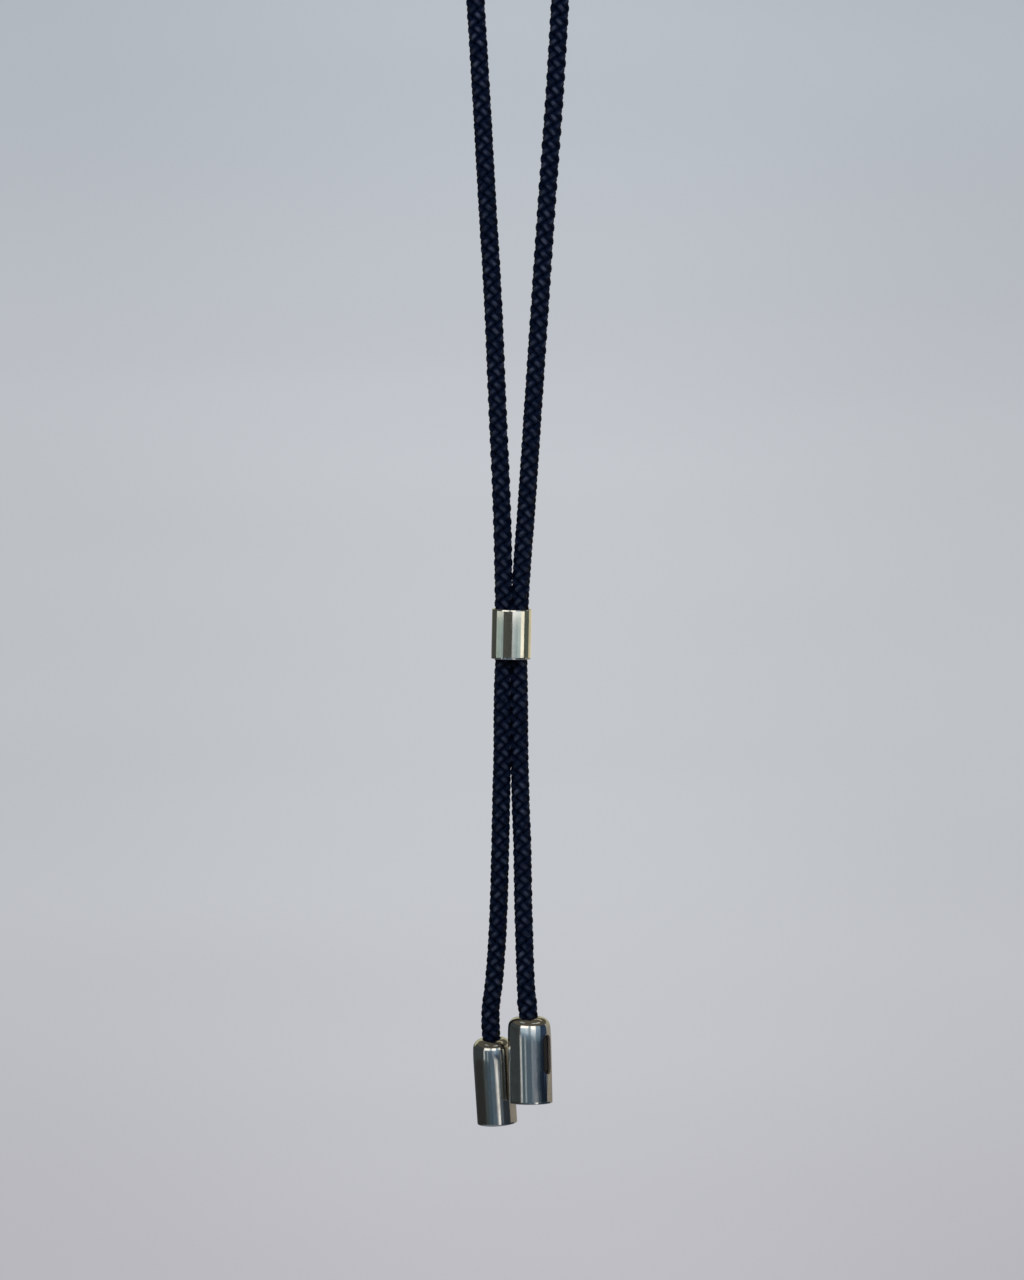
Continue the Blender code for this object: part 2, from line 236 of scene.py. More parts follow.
def empty_material(name):
    """A node material with nothing in it yet."""
    material = bpy.data.materials.new(name)
    material.use_nodes = True
    material.node_tree.nodes.clear()
    return material, material.node_tree


def braided_polyester(cord):
    """Dyed filament polyester, braided. Each stitch's raised crown is painted lighter: a painted satin
    highlight along it, with some greying from rubbing, broken into streaks by its fine parallel filaments.
    The hollows stay near black."""
    material, tree = empty_material("Braided polyester")
    place = node(tree, "ShaderNodeUVMap", uv_map="yarn_mm")
    tone = node(tree, "ShaderNodeAttribute", attribute_name="yarn_tone")
    rise = node(tree, "ShaderNodeAttribute", attribute_name="yarn_rise")
    # Filaments are about 0.02 mm apart; they are drawn 0.07 mm apart so that they show.
    along = node(tree, "ShaderNodeMapping", {
        "Vector": place.outputs["UV"], "Scale": (0.55, 14.0, 1.0)})
    filaments = node(tree, "ShaderNodeTexNoise", {
        "Vector": along.outputs["Vector"], "W": tone.outputs["Fac"], "Scale": 1.0, "Detail": 3.0,
        "Roughness": 0.6}, noise_dimensions="4D")
    patches = node(tree, "ShaderNodeTexNoise", {
        "Vector": place.outputs["UV"], "W": tone.outputs["Fac"], "Scale": 1.2, "Detail": 3.0},
        noise_dimensions="4D")
    # The crown runs along the middle of the yarn's upper side, half way round its girth.
    across = node(tree, "ShaderNodeSeparateXYZ", {"Vector": place.outputs["UV"]})
    aside = node(tree, "ShaderNodeMath", {0: across.outputs["Y"], 1: YARN_GIRTH_MM / 2},
                 operation="SUBTRACT")
    apart = node(tree, "ShaderNodeMath", {0: aside.outputs["Value"]}, operation="ABSOLUTE")
    crown = node(tree, "ShaderNodeMapRange", {
        "Value": apart.outputs["Value"], "From Min": 0.05, "From Max": 0.36, "To Min": 1.0,
        "To Max": 0.0}, interpolation_type="SMOOTHSTEP")
    high = node(tree, "ShaderNodeMapRange", {
        "Value": rise.outputs["Fac"], "From Min": 0.15, "From Max": 1.0},
        interpolation_type="SMOOTHSTEP")
    # Lighter where the crown is raised: a painted highlight, partly also wear from rubbing
    rubbed_and_highlighted = node(tree, "ShaderNodeMath", {0: crown.outputs["Result"], 1: high.outputs["Result"]},
                  operation="MULTIPLY")
    uneven = node(tree, "ShaderNodeMapRange", {
        "Value": patches.outputs["Fac"], "From Min": 0.36, "From Max": 0.66, "To Min": 0.05,
        "To Max": 1.0})
    highlight_and_wear = node(tree, "ShaderNodeMath", {0: rubbed_and_highlighted.outputs["Value"], 1: uneven.outputs["Result"]},
                operation="MULTIPLY")
    threads = node(tree, "ShaderNodeMapRange", {
        "Value": filaments.outputs["Fac"], "From Min": 0.32, "From Max": 0.64, "To Min": 0.25,
        "To Max": 1.0})
    amount = node(tree, "ShaderNodeMath", {0: highlight_and_wear.outputs["Value"], 1: threads.outputs["Result"]},
                  operation="MULTIPLY")
    colour = node(tree, "ShaderNodeMix", {
        "Factor": amount.outputs["Value"], "A": rgba(cord.yarn_colour),
        "B": rgba(cord.highlight_and_wear_colour)}, data_type="RGBA")
    gloss = node(tree, "ShaderNodeMapRange", {
        "Value": filaments.outputs["Fac"], "From Min": 0.3, "From Max": 0.7, "To Min": 0.42,
        "To Max": 0.62})
    bump = node(tree, "ShaderNodeBump", {
        "Height": filaments.outputs["Fac"], "Strength": 0.7, "Distance": 0.00006})
    # Filaments shade each other, which takes most of the gloss that a smooth sheet would have.
    shader = node(tree, "ShaderNodeBsdfPrincipled", {
        "Base Color": colour.outputs["Result"], "Roughness": gloss.outputs["Result"],
        "Normal": bump.outputs["Normal"], "IOR": 1.55, "Specular IOR Level": 0.05})
    node(tree, "ShaderNodeOutputMaterial", {"Surface": shader.outputs["BSDF"]})
    return material


def polished_steel(finish):
    """Polished stainless steel. It mirrors the room, with faint upright lines left by drawing the
    tube and a duller bloom where fingers have handled it."""
    material, tree = empty_material("Polished stainless steel")
    place = node(tree, "ShaderNodeAttribute", attribute_name="own_mm")
    # Drawing lines are about 0.01 mm apart; they are drawn 0.14 mm apart so that they show.
    lines_at = node(tree, "ShaderNodeMapping", {
        "Vector": place.outputs["Vector"], "Scale": (7.0, 7.0, 0.45)})
    lines = node(tree, "ShaderNodeTexNoise", {
        "Vector": lines_at.outputs["Vector"], "Scale": 1.0, "Detail": 2.0})
    bloom = node(tree, "ShaderNodeTexNoise", {
        "Vector": place.outputs["Vector"], "Scale": 0.35, "Detail": 4.0, "Roughness": 0.62})
    pits = node(tree, "ShaderNodeTexNoise", {
        "Vector": place.outputs["Vector"], "Scale": 5.0, "Detail": 2.0})
    dull = node(tree, "ShaderNodeMapRange", {
        "Value": bloom.outputs["Fac"], "From Min": 0.42, "From Max": 0.72, "To Min": 0.08,
        "To Max": 0.15})
    streak = node(tree, "ShaderNodeMapRange", {
        "Value": lines.outputs["Fac"], "From Min": 0.3, "From Max": 0.7, "To Min": 0.0,
        "To Max": 0.03})
    rough = node(tree, "ShaderNodeMath", {
        0: dull.outputs["Result"], 1: streak.outputs["Result"]}, operation="ADD")
    stain = node(tree, "ShaderNodeMapRange", {
        "Value": bloom.outputs["Fac"], "From Min": 0.35, "From Max": 0.75})
    colour = node(tree, "ShaderNodeMix", {
        "Factor": stain.outputs["Result"], "A": rgba(finish.steel),
        "B": rgba(linear("B5B2AB"))}, data_type="RGBA")
    height = node(tree, "ShaderNodeMath", {
        0: lines.outputs["Fac"], 1: pits.outputs["Fac"]}, operation="ADD")
    bump = node(tree, "ShaderNodeBump", {
        "Height": height.outputs["Value"], "Strength": 0.10, "Distance": 0.00001})
    shader = node(tree, "ShaderNodeBsdfPrincipled", {
        "Base Color": colour.outputs["Result"], "Roughness": rough.outputs["Value"],
        "Normal": bump.outputs["Normal"], "Metallic": 1.0})
    node(tree, "ShaderNodeOutputMaterial", {"Surface": shader.outputs["BSDF"]})
    return material


def blasted_steel(finish):
    """Stainless steel blasted with fine grit: a grey, even, grainy dullness."""
    material, tree = empty_material("Blasted stainless steel")
    place = node(tree, "ShaderNodeTexCoord")
    # Blasting grit leaves dents about 0.05 mm wide.
    grit = node(tree, "ShaderNodeTexNoise", {
        "Vector": place.outputs["Object"], "Scale": 20000.0, "Detail": 2.0})
    rough = node(tree, "ShaderNodeMapRange", {
        "Value": grit.outputs["Fac"], "To Min": 0.36, "To Max": 0.52})
    colour = node(tree, "ShaderNodeMix", {
        "Factor": grit.outputs["Fac"], "A": rgba(finish.crimp), "B": rgba(linear("8E8D8A"))},
        data_type="RGBA")
    bump = node(tree, "ShaderNodeBump", {
        "Height": grit.outputs["Fac"], "Strength": 0.4, "Distance": 0.00002})
    shader = node(tree, "ShaderNodeBsdfPrincipled", {
        "Base Color": colour.outputs["Result"], "Roughness": rough.outputs["Result"],
        "Normal": bump.outputs["Normal"], "Metallic": 1.0})
    node(tree, "ShaderNodeOutputMaterial", {"Surface": shader.outputs["BSDF"]})
    return material


def punched_steel():
    """The window's punched wall: bare steel that no wheel has reached, with dull upright tears and
    a warm tint, so it stays dim beside the polished barrel."""
    material, tree = empty_material("Punched stainless steel")
    place = node(tree, "ShaderNodeAttribute", attribute_name="own_mm")
    # Punching tears are about 0.05 mm wide.
    tears = node(tree, "ShaderNodeTexNoise", {
        "Vector": place.outputs["Vector"], "Scale": 20.0, "Detail": 2.0})
    rough = node(tree, "ShaderNodeMapRange", {
        "Value": tears.outputs["Fac"], "To Min": 0.45, "To Max": 0.6})
    colour = node(tree, "ShaderNodeMix", {
        "Factor": tears.outputs["Fac"], "A": rgba(linear("F2E2D6")), "B": rgba(linear("D6C6BA"))},
        data_type="RGBA")
    bump = node(tree, "ShaderNodeBump", {
        "Height": tears.outputs["Fac"], "Strength": 0.3, "Distance": 0.00002})
    shader = node(tree, "ShaderNodeBsdfPrincipled", {
        "Base Color": colour.outputs["Result"], "Roughness": rough.outputs["Result"],
        "Normal": bump.outputs["Normal"], "Metallic": 1.0})
    node(tree, "ShaderNodeOutputMaterial", {"Surface": shader.outputs["BSDF"]})
    return material


def moulded_silicone(finish):
    """Black silicone from a spark-eroded mould: a soft, slightly dusty matt skin."""
    material, tree = empty_material("Moulded silicone")
    place = node(tree, "ShaderNodeTexCoord")
    # The mould's spark texture is about 0.08 mm coarse.
    grain = node(tree, "ShaderNodeTexNoise", {
        "Vector": place.outputs["Object"], "Scale": 12000.0, "Detail": 2.0})
    dust = node(tree, "ShaderNodeTexNoise", {
        "Vector": place.outputs["Object"], "Scale": 900.0, "Detail": 4.0})
    lint = node(tree, "ShaderNodeMapRange", {
        "Value": dust.outputs["Fac"], "From Min": 0.5, "From Max": 0.75})
    colour = node(tree, "ShaderNodeMix", {
        "Factor": lint.outputs["Result"], "A": rgba(finish.silicone),
        "B": rgba(linear("211F20"))}, data_type="RGBA")
    rough = node(tree, "ShaderNodeMapRange", {
        "Value": dust.outputs["Fac"], "To Min": 0.28, "To Max": 0.46})
    bump = node(tree, "ShaderNodeBump", {
        "Height": grain.outputs["Fac"], "Strength": 0.35, "Distance": 0.00003})
    shader = node(tree, "ShaderNodeBsdfPrincipled", {
        "Base Color": colour.outputs["Result"], "Roughness": rough.outputs["Result"],
        "Normal": bump.outputs["Normal"], "IOR": 1.42})
    node(tree, "ShaderNodeOutputMaterial", {"Surface": shader.outputs["BSDF"]})
    return material


# ---- shared mesh work ----------------------------------------------------------------------------


def add_object(name, data):
    item = bpy.data.objects.new(name, data)
    bpy.context.scene.collection.objects.link(item)
    return item


def add_mesh(name, shape, material):
    """Turn a bmesh into an object at the origin with one material."""
    mesh = bpy.data.meshes.new(name)
    shape.to_mesh(mesh)
    shape.free()
    mesh.materials.append(material)
    return add_object(name, mesh)


def finish_piece(name, shape, material, smooth_to=35.0):
    """Turn a bmesh into a smooth-shaded piece that stays crisp at edges sharper than an angle."""
    piece = add_mesh(name, shape, material)
    piece.data.shade_smooth()
    piece.data.set_sharp_from_angle(angle=math.radians(smooth_to))
    return piece


def spin_line(points, closed, angle, steps, merge):
    """Spin a line of points about Z, joined end to end first if it is closed."""
    shape = bmesh.new()
    verts = [shape.verts.new(point) for point in points]
    followers = verts[1:] + verts[:1] if closed else verts[1:]
    edges = [shape.edges.new(pair) for pair in zip(verts, followers)]
    bmesh.ops.spin(shape, geom=verts + edges, cent=(0.0, 0.0, 0.0), axis=(0.0, 0.0, 1.0),
                   angle=angle, steps=steps, use_merge=merge)
    return shape


def turned_shape(profile, steps):
    """A closed ring made by spinning a closed profile of (radius, height) about Z."""
    points = [(radius, 0.0, height) for radius, height in profile]
    shape = spin_line(points, True, math.tau, steps, True)
    bmesh.ops.recalc_face_normals(shape, faces=shape.faces[:])
    return shape


def bevel_edges(shape, edges, offset, segments):
    bmesh.ops.bevel(shape, geom=edges, offset=offset, offset_type="OFFSET", segments=segments,
                    profile=0.5, affect="EDGES", material=-1, clamp_overlap=True)


def round_rings(shape, radius, height, offset, segments):
    """Round the full ring of edges that lies at one radius and height."""
    near = 0.00001
    ring = [
        edge for edge in shape.edges
        if all(abs(v.co.z - height) < near and abs(v.co.xy.length - radius) < near
               for v in edge.verts)
    ]
    bevel_edges(shape, ring, offset, segments)


def mark_own_place(shape):
    """Keep each point's place on its own part, in mm, for patterns that follow the part."""
    layer = shape.verts.layers.float_vector.new("own_mm")
    for vert in shape.verts:
        vert[layer] = vert.co / MM


# ---- the cord's line -----------------------------------------------------------------------------


def loop_points():
    start = math.pi + LOOP_SPREAD
    sweep = math.pi + 2 * LOOP_SPREAD
    angles = [start - sweep * step / (LOOP_POINTS - 1) for step in range(LOOP_POINTS)]
    x, y, z = LOOP_CENTRE
    return [(x + LOOP_RADIUS * math.cos(a), y, z + LOOP_RADIUS * math.sin(a)) for a in angles]


def smooth_through(points, pieces=60):
    """A centripetal Catmull-Rom curve through the points, as closely spaced points."""
    run = [2 * points[0] - points[1]] + points + [2 * points[-1] - points[-2]]
    curve = []
    for a, b, c, d in zip(run, run[1:], run[2:], run[3:]):
        knots = [0.0]
        for first, second in ((a, b), (b, c), (c, d)):
            knots.append(knots[-1] + math.sqrt((second - first).length))
        for piece in range(pieces):
            t = knots[1] + (knots[2] - knots[1]) * piece / pieces
            ab = a.lerp(b, (t - knots[0]) / (knots[1] - knots[0]))
            bc = b.lerp(c, (t - knots[1]) / (knots[2] - knots[1]))
            cd = c.lerp(d, (t - knots[2]) / (knots[3] - knots[2]))
            abc = ab.lerp(bc, (t - knots[0]) / (knots[2] - knots[0]))
            bcd = bc.lerp(cd, (t - knots[1]) / (knots[3] - knots[1]))
            curve.append(abc.lerp(bcd, (t - knots[1]) / (knots[2] - knots[1])))
    return curve + [points[-1]]


class CordLine:
    """The whole cord's centreline, with a pair of side directions that never twist about it."""

    STEP = 0.0001

    def __init__(self):
        route = [*LEFT_ROUTE, *loop_points(), *reversed(RIGHT_ROUTE)]
        curve = smooth_through([Vector(point) + SLIDER_AT for point in route])
        points = np.array(curve)
        gaps = np.linalg.norm(np.diff(points, axis=0), axis=1)
        run = np.concatenate(([0.0], np.cumsum(gaps)))
        self.length = run[-1]
        self.at = np.arange(0.0, self.length, self.STEP)
        self.points = np.stack([np.interp(self.at, run, points[:, n]) for n in range(3)], axis=1)
        tangents = np.gradient(self.points, self.STEP, axis=0)
        self.tangents = tangents / np.linalg.norm(tangents, axis=1, keepdims=True)
        self.sides = np.zeros_like(self.tangents)
        side = np.array((1.0, 0.0, 0.0))
        for n, tangent in enumerate(self.tangents):
            side = side - tangent * side.dot(tangent)
            side = side / np.linalg.norm(side)
            self.sides[n] = side

    def passes(self, height, side):
        """How far along the cord its left or right side is at a height above the slider."""
        level = height + SLIDER_AT.z
        top = int(self.points[:, 2].argmax())
        span = slice(0, top) if side == "left" else slice(top, len(self.at))
        return float(self.at[span][np.abs(self.points[span, 2] - level).argmin()])

    def sample(self, lengths):
        """Centres, tangents and the two side directions at the given lengths along the cord."""
        def pick(values):
            found = np.stack([np.interp(lengths, self.at, values[:, n]) for n in range(3)], axis=1)
            return found
        centres, tangents, sides = pick(self.points), pick(self.tangents), pick(self.sides)
        tangents /= np.linalg.norm(tangents, axis=1, keepdims=True)
        sides -= tangents * np.sum(sides * tangents, axis=1, keepdims=True)
        sides /= np.linalg.norm(sides, axis=1, keepdims=True)
        return centres, tangents, sides, np.cross(tangents, sides)


# ---- the braid -----------------------------------------------------------------------------------


def lay_tube(shape, line, width_way, depth_way, half_width, half_depth, sides, tone, rise=None):
    """Roll a grid into a closed tube along a line, flattened to a half width and half depth."""
    steps = len(line) - 1
    spread = Matrix.Diagonal((steps, sides, 1.0, 1.0)) @ Matrix.Translation((0.5, 0.5, 0.0))
    grid = bmesh.ops.create_grid(shape, x_segments=steps, y_segments=sides, size=0.5,
                                 matrix=spread, calc_uvs=True)["verts"]
    # The grid's two long edges meet underneath, where the seam can't show.
    angles = np.arange(sides + 1) * math.tau / sides - math.pi / 2
    wide = half_width[:, None] * np.cos(angles)
    deep = half_depth[:, None] * np.sin(angles)
    places = (line[:, None] + width_way[:, None] * wide[..., None]
              + depth_way[:, None] * deep[..., None])
    rise = np.zeros(len(line)) if rise is None else rise
    tones, rises = (shape.verts.layers.float[name] for name in ("yarn_tone", "yarn_rise"))
    for vert in grid:
        step, turn = round(vert.co.x), round(vert.co.y)
        vert.co = places[step, turn]
        vert[tones] = tone
        vert[rises] = rise[step]
    bmesh.ops.remove_doubles(shape, verts=grid, dist=1e-7)


def yarn_path(cord, line, lengths, number, squeeze):
    """Centre, side and outward directions of one of the eight yarns, and how far it is raised."""
    centres, tangents, sides, fronts = line.sample(lengths)
    hand = 1.0 if number < 4 else -1.0
    lean = hand * math.tau * lengths / cord.lay
    # Tension varies a little along a real braid, so no two stitches are quite alike.
    drift = (0.05 * np.sin(lengths / 0.0071 + 1.7 * number)
             + 0.04 * np.sin(lengths / 0.0029 + 2.9 * number))
    angle = lean + number * math.pi / 2 + drift + cord_turn(lengths)
    raised = hand * np.cos(4 * math.tau * lengths / cord.lay)
    out = sides * np.cos(angle)[:, None] + fronts * np.sin(angle)[:, None]
    middle = cord.diameter * PROUD / 2 - cord.weave_depth - cord.yarn_thickness * 0.56
    radius = (middle + cord.weave_depth * raised) * squeeze
    path = pinch(centres + out * radius[:, None])
    way = np.gradient(path, axis=0)
    way /= np.linalg.norm(way, axis=1, keepdims=True)
    out = out - way * np.sum(out * way, axis=1, keepdims=True)
    out /= np.linalg.norm(out, axis=1, keepdims=True)
    return path, np.cross(way, out), out, raised


def pinch(points):
    """Press the two strands together sideways where the slider holds them side by side."""
    height = points[:, 2] - SLIDER_AT.z
    gripped = 0.09 * np.exp(-((height + 0.0020) / 0.0066) ** 2)
    touching = 0.006 * (1.0 - np.tanh((np.abs(height + 0.0055) - 0.0180) / 0.0015))
    points[:, 0] -= (points[:, 0] - SLIDER_AT.x) * (gripped + touching)
    return points


def swell(line, lengths):
    """How much fuller the braid is just above each cap, where its crimped end pushes it up."""
    above_left = lengths - line.passes(CAPS["left"]["top"][2], "left")
    above_right = line.passes(CAPS["right"]["top"][2], "right") - lengths
    return 1.0 + sum(amount * np.exp(-((above - 0.0024) / 0.0018) ** 2)
                     for amount, above in ((0.05, above_left), (0.11, above_right)))


def cord_turn(lengths):
    """How far the cord as a whole has turned about itself: a slow, uneven twist."""
    return 1.18 - lengths * 1.36 + 0.12 * np.sin(lengths / 0.021)


def braid_piece(name, cord, line, begin, end, reach, material):
    """One length of braid from begin to end, reaching a little inside its neighbour if asked."""
    shape = bmesh.new()
    shape.loops.layers.uv.new("yarn_mm")
    shape.verts.layers.float.new("yarn_tone")
    shape.verts.layers.float.new("yarn_rise")
    lay_fibres(shape, cord, line, begin, end)
    low, high = begin - reach[0], end + reach[1]
    lengths = np.linspace(low, high, round((high - low) / 0.0002) + 1)
    # Inside the neighbour the yarns draw in by 5 %, so that only one of the two shows.
    squeeze = np.where((lengths < begin) | (lengths > end), 0.95, 1.0) * swell(line, lengths)
    for number in range(8):
        path, across, out, raised = yarn_path(cord, line, lengths, number, squeeze)
        half_width = cord.yarn_width / 2 * (1.0 + 0.07 * raised)
        half_depth = cord.yarn_thickness / 2 * (1.0 + 0.12 * raised)
        lay_tube(shape, path, across, out, half_width, half_depth, 12, number + 0.37, raised)
    inner = np.linspace(low, high, round((high - low) / 0.001) + 1)
    centres, _, sides, fronts = line.sample(inner)
    core = np.full(len(inner), cord.diameter * 0.27)
    lay_tube(shape, centres, sides, fronts, core, core, 10, 0.0)
    open_edges = [edge for edge in shape.edges if edge.is_boundary]
    bmesh.ops.holes_fill(shape, edges=open_edges, sides=0)
    bmesh.ops.recalc_face_normals(shape, faces=shape.faces[:])
    piece = finish_piece(name, shape, material, 180.0)
    layer = piece.data.uv_layers["yarn_mm"].data
    values = np.zeros(len(layer) * 2, np.float32)
    layer.foreach_get("uv", values)
    values = values.reshape(-1, 2) * np.array(((high - low) / MM, YARN_GIRTH_MM))
    layer.foreach_set("uv", values.astype(np.float32).ravel())
    return piece


def lay_fibres(shape, cord, line, begin, end):
    """Loose filaments that stand off the braid, each a thin curved hair."""
    rng = np.random.default_rng(cord.seed + round(begin * 1e5))
    count = round((end - begin) / cord.fibre_spacing)
    share = np.linspace(0.0, 1.0, 7)[:, None]
    for root in rng.uniform(begin + 0.002, end - 0.002, count):
        centres, tangents, sides, fronts = line.sample(np.array((root,)))
        angle = rng.uniform(0.0, math.tau)
        out = sides[0] * math.cos(angle) + fronts[0] * math.sin(angle)
        round_way = np.cross(tangents[0], out)
        start = centres[0] + out * cord.diameter * 0.44
        drift = tangents[0] * rng.uniform(-0.0011, 0.0011) + round_way * rng.uniform(-5e-4, 5e-4)
        lift = out * rng.uniform(0.00018, 0.00075)
        bend = start + lift * 0.9 + drift * 0.35
        tip = start + lift * rng.uniform(0.5, 1.0) + drift
        path = (1 - share) ** 2 * start + 2 * share * (1 - share) * bend + share ** 2 * tip
        way = np.gradient(path, axis=0)
        way /= np.linalg.norm(way, axis=1, keepdims=True)
        across = np.cross(way, out)
        across /= np.linalg.norm(across, axis=1, keepdims=True)
        thin = np.linspace(0.000013, 0.000006, len(path))
        lay_tube(shape, path, across, np.cross(across, way), thin, thin, 3, 9.0)


# ---- stage ---------------------------------------------------------------------------------------


def around(azimuth, elevation):
    """Unit vector from the strap: azimuth 0 is towards the camera and 90 is to its right."""
    a, e = math.radians(azimuth), math.radians(elevation)
    return Vector((math.sin(a) * math.cos(e), -math.cos(a) * math.cos(e), math.sin(e)))


def glow(name, colour, strength):
    """Plain light-giving material for the cards."""
    material, tree = empty_material(name)
    light = node(tree, "ShaderNodeEmission", {"Color": rgba(colour), "Strength": strength})
    node(tree, "ShaderNodeOutputMaterial", {"Surface": light.outputs["Emission"]})
    return material


def add_card(name, span, heights, code, gain, distance):
    """A curved card round the strap."""
    start = around(span[0], 0.0) * distance
    points = [(start.x, start.y, height) for height in heights]
    shape = spin_line(points, False, math.radians(span[1] - span[0]), 12, False)
    hang_card(name, shape, code, gain)


def hang_card(name, shape, code, gain):
    """Hang a card that only polished surfaces mirror."""
    card = add_mesh(name, shape, glow(name, linear(code), gain * STEEL_GAIN))
    card.visible_camera = False
    card.visible_diffuse = False
    card.visible_shadow = False
    card.visible_transmission = False


def add_softbox(name, azimuth, elevation, distance, size, power, code):
    """A soft area light aimed at the slider, which polished surfaces don't mirror."""
    light = bpy.data.lights.new(name, "AREA")
    light.shape = "RECTANGLE"
    light.size, light.size_y = size
    light.energy = power
    light.color = linear(code)
    item = add_object(name, light)
    item.visible_glossy = False
    way = around(azimuth, elevation)
    item.location = SLIDER_AT + way * distance
    item.rotation_euler = way.to_track_quat("Z", "Y").to_euler()


# How far the cards hang from the strap's upright middle line, and how high the lid over the far
# ones is
NEAR, FAR = 0.05, 0.9
LID = 0.160
# The caps' left sides mirror the same cards in two rows.
CAP_LEFT = ((-180, "33383A"), (-61, "A9ACAE", 1.1), (-52, "42545D"), (-38, "8A949B"),
            (-31, "475562"))
# The rows of cards that the steel mirrors. A row has its distance, its lowest and highest point,
# and for each card the azimuth where it begins, its tone as the steel shows it and, where it glows
# brighter than that tone, how many times. The last card of a row ends at 180.
CARD_ROWS = {
    "slider": (NEAR, (-0.2165, -0.2010), (
        (-180, "767573"), (-148, "3F413D"), (-93, "A9B3AC"), (-87, "8FA19B"), (-73, "94A4A2"),
        (-60, "869696"), (-48, "41423E"), (3, "AAB3B5"), (14, "9CABAD"), (24, "90A1A3"),
        (35, "A6B5B5"), (54, "F0EBDA", 1.1), (76, "4B524A"), (118, "BDB499"))),
    "right_cap": (FAR, (-0.385, -0.322), (
        *CAP_LEFT, (-4, "76808A"), (5, "4A5668"), (17, "36435A"), (24, "22303F"), (40, "101A28"),
        (90, "857F76"))),
    "between_caps": (FAR, (-0.452, -0.385), (
        *CAP_LEFT, (6, "B4B5B4"), (29, "59626A"), (46, "2D3238"), (92, "77736B"))),
    "left_cap": (FAR, (-0.620, -0.452), (
        (-180, "5E5E5C"), (-160, "292A2A"), (-70, "373F41"), (-48, "3A4854"), (-22, "4D5C68"),
        (6, "94979A"), (14, "DAD9D6", 1.2), (26, "2C3945"), (50, "1E2934"), (122, "8B867D"))),
    "low_fade": (FAR, (-0.322, -0.285), (
        (-180, "2E3233"), (-58, "5E7486"), (-12, "566A7C"), (4, "7C8E9E"), (20, "5E7486"),
        (48, "2A3442"), (100, "857F76"))),
    "high_fade": (FAR, (-0.285, -0.215), (
        (-180, "303434"), (-58, "A3B5C4"), (-18, "7F909E"), (-5, "B9C8D5"), (22, "6A7D90"),
        (50, "2C3A50"), (100, "8F8B7E"))),
    "shoulder": (FAR, (-0.215, LID), (
        (-180, "9A9880"), (-140, "353B3D"), (-58, "FFFDF6", 1.15), (-18, "93A1A8"),
        (-5, "FFFDF6", 1.2), (22, "8296A8"), (50, "25374B"), (95, "939082"), (140, "9A9880"))),
}
# Glints along the slider's top edge, one for each of its pale bands
GLINTS = (("slider_glint_left", (-93, -48), (-0.2056, -0.2010), "C8CCC2"),
          ("slider_glint_right", (3, 54), (-0.2072, -0.2010), "F4F8F8"))
GLINT_DISTANCE = NEAR - 0.0005
CEILING = "4E4A42"
# Polished steel gives back about 58 % of what it mirrors.
STEEL_GAIN = 1 / 0.58
# The camera's distance from where it aims, how many degrees above that it stands, and how far
# above and below that it sees
CAMERA_DISTANCE, CAMERA_ELEVATION = 1.0, 3.5
VIEW_HALF_HEIGHT = 0.11294


